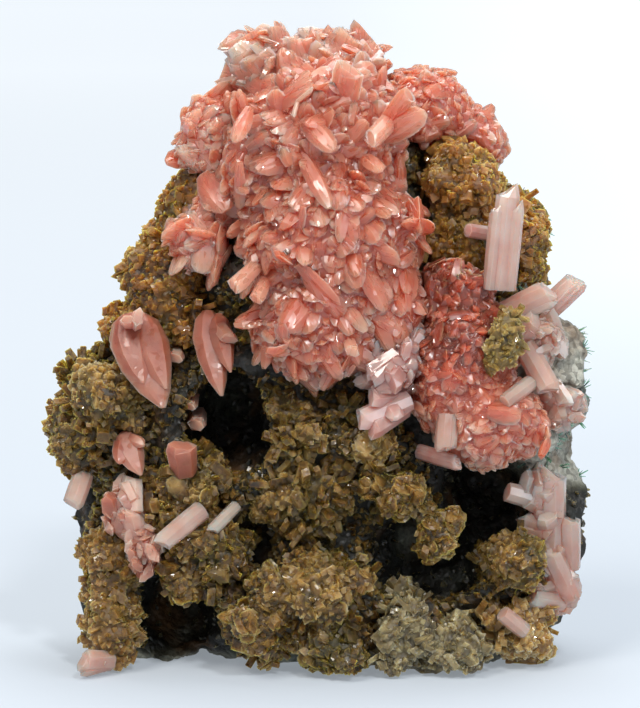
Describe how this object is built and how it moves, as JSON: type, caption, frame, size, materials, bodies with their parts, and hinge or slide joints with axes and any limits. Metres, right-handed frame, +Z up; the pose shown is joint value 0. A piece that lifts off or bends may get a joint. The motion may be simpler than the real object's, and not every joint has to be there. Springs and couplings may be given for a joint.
{
  "type": "hureaulite specimen",
  "caption": "Freestanding mineral specimen for display: coral-pink bladed crystal sprays and pale prisms on brown crusts, over a wedge of grey-green host rock with open pockets.",
  "frame": {"origin": "on the foot plane, under the middle of the specimen's bounding box", "axes": "+Z up, -Y out of the crystal-bearing front towards the viewer, +X to the viewer's right"},
  "size_m": [0.0424, 0.0262, 0.0492],
  "materials": {
    "altered_rock": "broken altered phosphate-bearing rock, dull grey-green with dark green needles, near black in the pockets",
    "olive_crust": "rough crust of tiny glistening siderite crystals, olive-brown",
    "honey_crust": "rough crust of tiny glistening siderite crystals, honey-brown",
    "grey_crust": "druse of tiny grey-beige crystals, glistening",
    "coral_crystal": "translucent coral-pink hureaulite, vitreous, paler at the tips",
    "pale_crystal": "translucent pale pink hureaulite prisms, vitreous, striated along their length",
    "lilac_crystal": "translucent greyish lilac-pink hureaulite, vitreous"
  },
  "bodies": {
    "root": {"host_rock": "altered_rock", "left_flank_crust": "olive_crust", "left_shoulder_crust": "olive_crust", "left_middle_crust": "olive_crust", "left_foot_crust": "honey_crust", "centre_crust": "olive_crust", "lower_centre_crust": "olive_crust", "grey_foot_crust": "grey_crust", "diagonal_ridge": "olive_crust", "pocket_ball": "olive_crust", "right_foot_crust": "honey_crust", "top_right_crust": "olive_crust", "right_flank_crust": "olive_crust", "nugget": "honey_crust", "back_left_crust": "olive_crust", "back_right_crust": "grey_crust", "crown_spray": "coral_crystal", "crest_tuft": "coral_crystal", "back_crest_spray": "coral_crystal", "shoulder_fan": "coral_crystal", "cheek_fan": "coral_crystal", "right_spray": "coral_crystal", "bridge_spray": "lilac_crystal", "left_chain": "coral_crystal", "rim_cluster": "pale_crystal", "back_spray": "coral_crystal", "broad_fan": "coral_crystal", "slim_fan": "coral_crystal", "low_fan": "coral_crystal", "stub_blade": "coral_crystal", "rim_column": "pale_crystal", "tall_prism": "pale_crystal", "reclining_prism": "pale_crystal", "flank_prism": "pale_crystal", "block_prism": "pale_crystal", "glassy_prism": "pale_crystal", "leaning_prism": "pale_crystal", "perched_prism": "pale_crystal", "slim_prism": "pale_crystal", "pocket_prism": "pale_crystal", "foot_prism": "pale_crystal", "lilac_blade": "lilac_crystal", "hanging_crystal": "pale_crystal", "ledge_crystal": "lilac_crystal", "heel_crystal": "pale_crystal", "elbow_crystal": "pale_crystal", "upper_twig": "lilac_crystal"}
  },
  "joints": []
}
